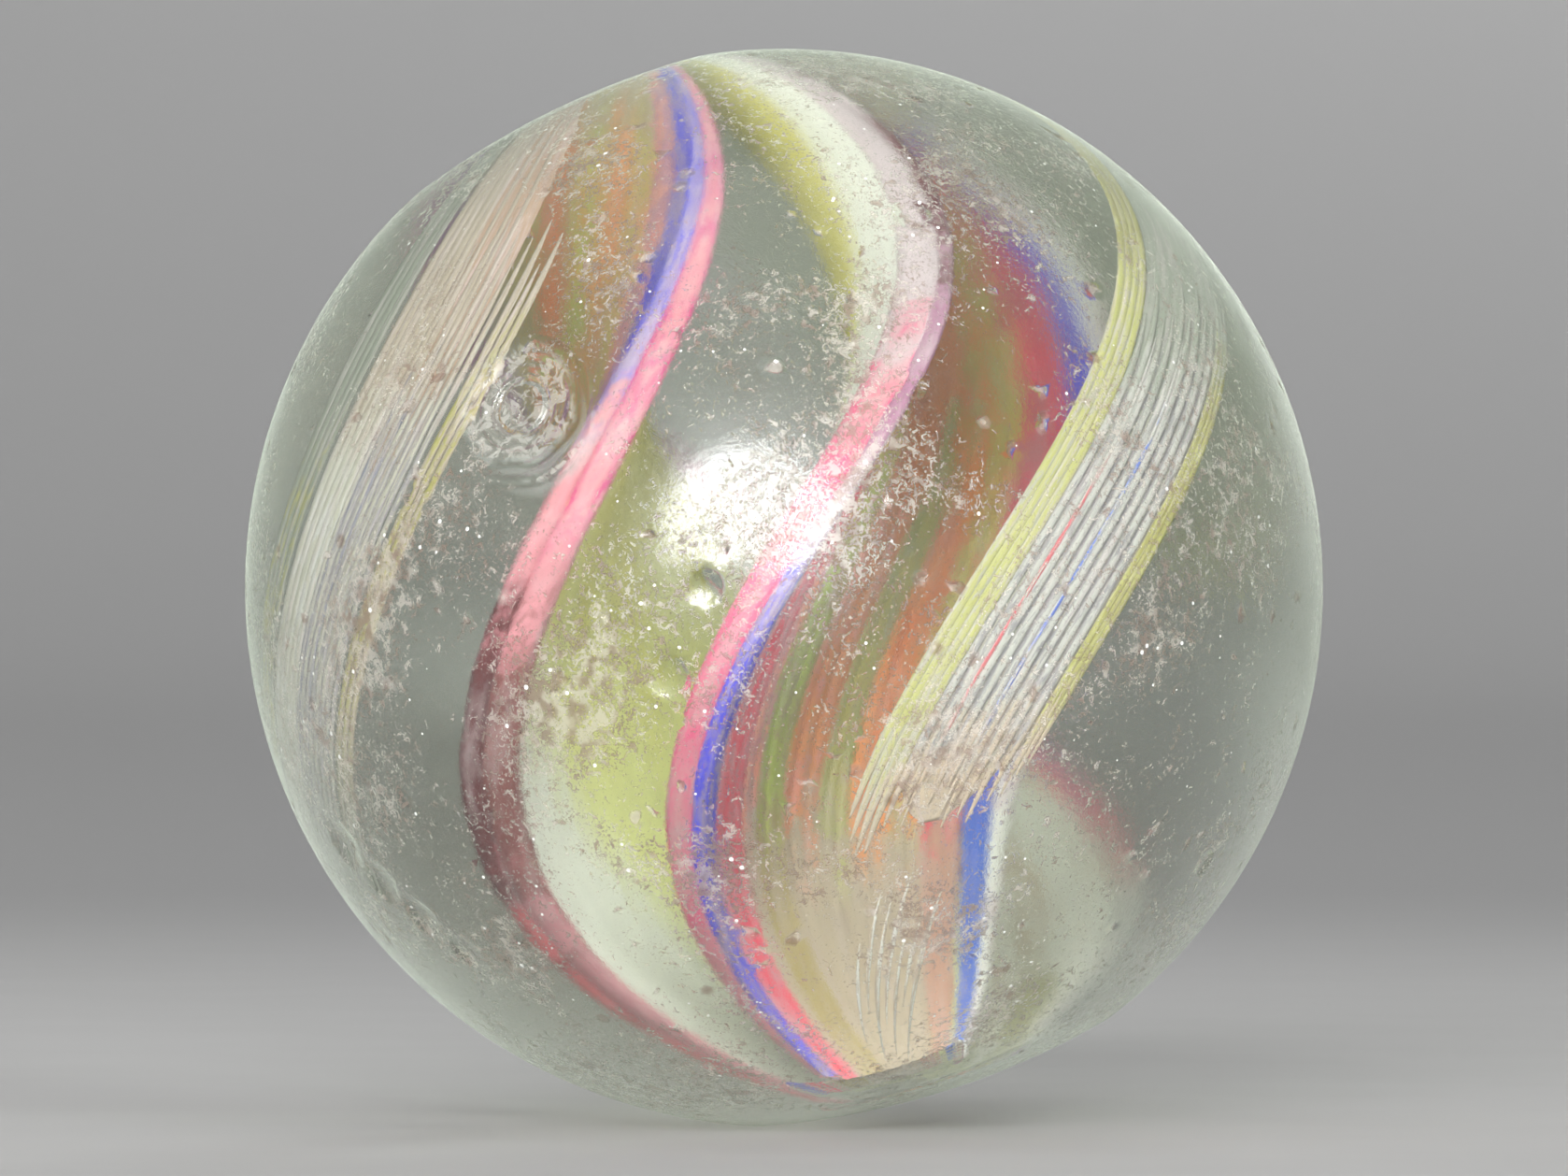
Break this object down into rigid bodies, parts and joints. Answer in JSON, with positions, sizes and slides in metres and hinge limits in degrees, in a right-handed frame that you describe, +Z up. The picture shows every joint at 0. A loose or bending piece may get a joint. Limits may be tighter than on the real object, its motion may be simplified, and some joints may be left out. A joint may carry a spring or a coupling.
{
  "type": "glass marble",
  "caption": "Old handmade swirl marble: a worn ball of clear greenish glass with twisted bands of coloured strands inside.",
  "frame": {"origin": "the middle of the ball", "axes": "+Z up as the marble is shown, -Y towards the viewer, +X to the viewer's right; the swirl's own axis leans to the left and away from the viewer at the top"},
  "size_m": [0.018, 0.018, 0.018],
  "materials": {
    "clear_glass": "clear grey-green glass, scuffed and pitted all over",
    "white_glass": "opaque white and cream strands inside the clear glass",
    "yellow_glass": "opaque yellow strands inside the clear glass",
    "pink_glass": "pink and red strands inside the clear glass",
    "blue_glass": "blue strands inside the clear glass",
    "green_glass": "olive green strands inside the clear glass",
    "orange_glass": "orange strands inside the clear glass"
  },
  "bodies": {
    "root": {"marble": "clear_glass"}
  },
  "joints": []
}
